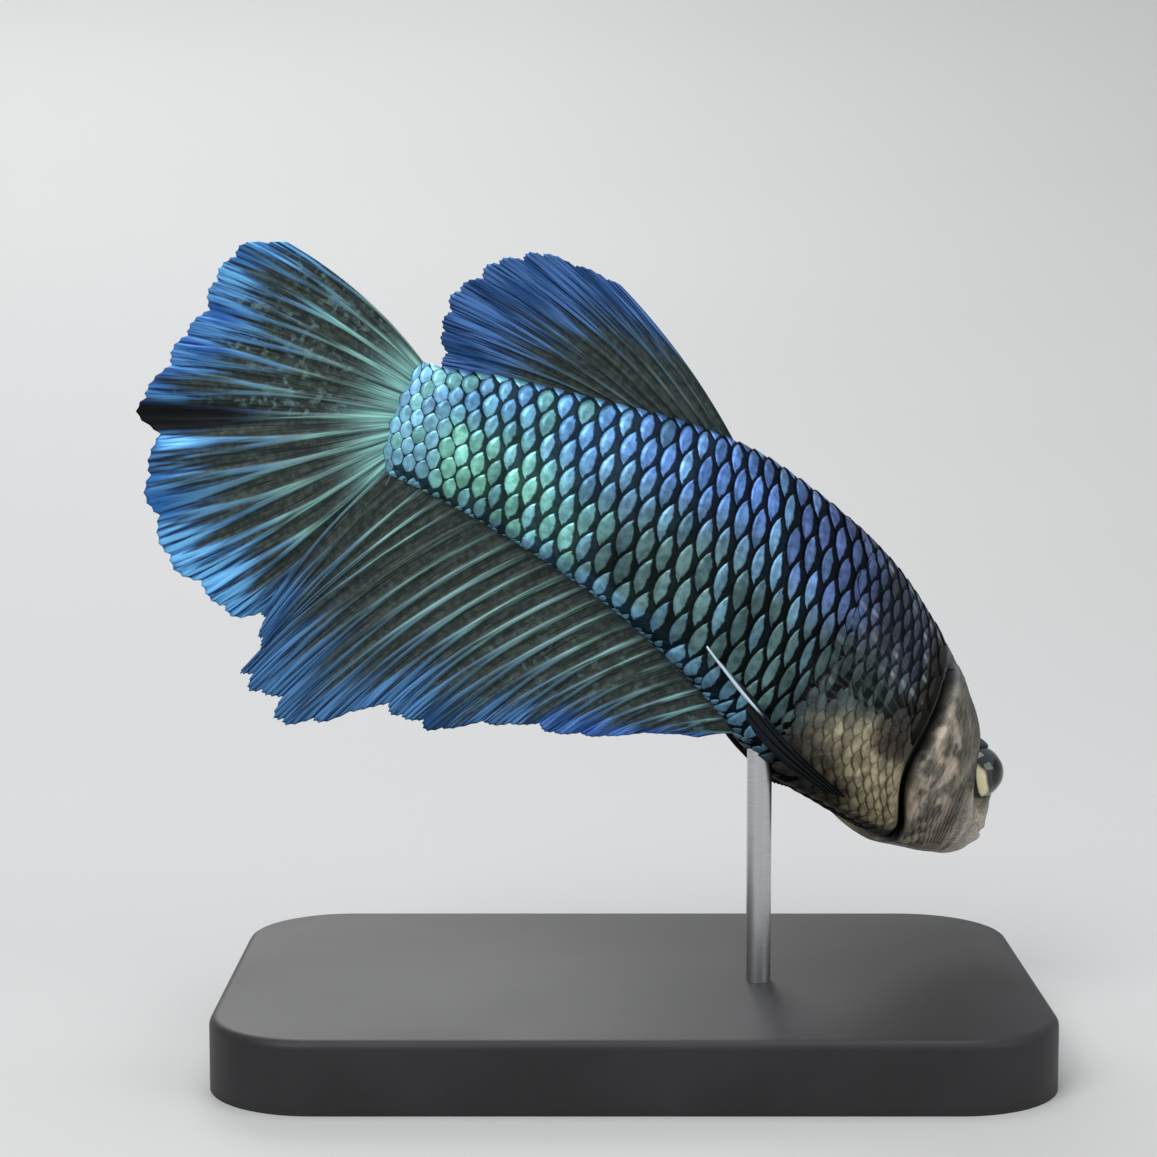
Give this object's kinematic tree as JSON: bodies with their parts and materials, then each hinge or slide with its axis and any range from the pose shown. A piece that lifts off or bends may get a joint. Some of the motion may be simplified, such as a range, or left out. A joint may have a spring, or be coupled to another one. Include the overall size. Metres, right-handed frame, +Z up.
{
  "type": "betta fish",
  "caption": "Still life-size model of a short-finned male betta fish, bent nose-down with spread fins, held by a rod over a flat display base.",
  "frame": {"origin": "middle of the stand's flat underside", "axes": "+Z up; +X towards the fish's head end, along the length of the stand; the fish's right side faces -Y"},
  "size_m": [0.0503, 0.03, 0.0454],
  "materials": {
    "scales": "glossy metallic blue to turquoise scales with dark edges",
    "head_skin": "moist mottled grey-brown skin",
    "blue_fin": "thin dark fin with blue and turquoise rays and a bright blue margin",
    "clear_fin": "nearly clear fin with faint rays",
    "eye": "wet black eye with a pale gold iris",
    "stand_base": "satin black",
    "stand_rod": "brushed steel"
  },
  "bodies": {
    "root": {"head": "head_skin", "lower_jaw": "head_skin", "gill_cover_right": "head_skin", "gill_cover_left": "head_skin", "trunk": "scales", "tail_stalk": "scales", "dorsal_fin": "blue_fin", "anal_fin": "blue_fin", "tail_fin": "blue_fin", "pelvic_fin_right": "blue_fin", "pelvic_fin_left": "blue_fin", "pectoral_fin_right": "clear_fin", "pectoral_fin_left": "clear_fin", "eye_right": "eye", "eye_left": "eye", "stand_base": "stand_base", "stand_rod": "stand_rod"}
  },
  "joints": []
}
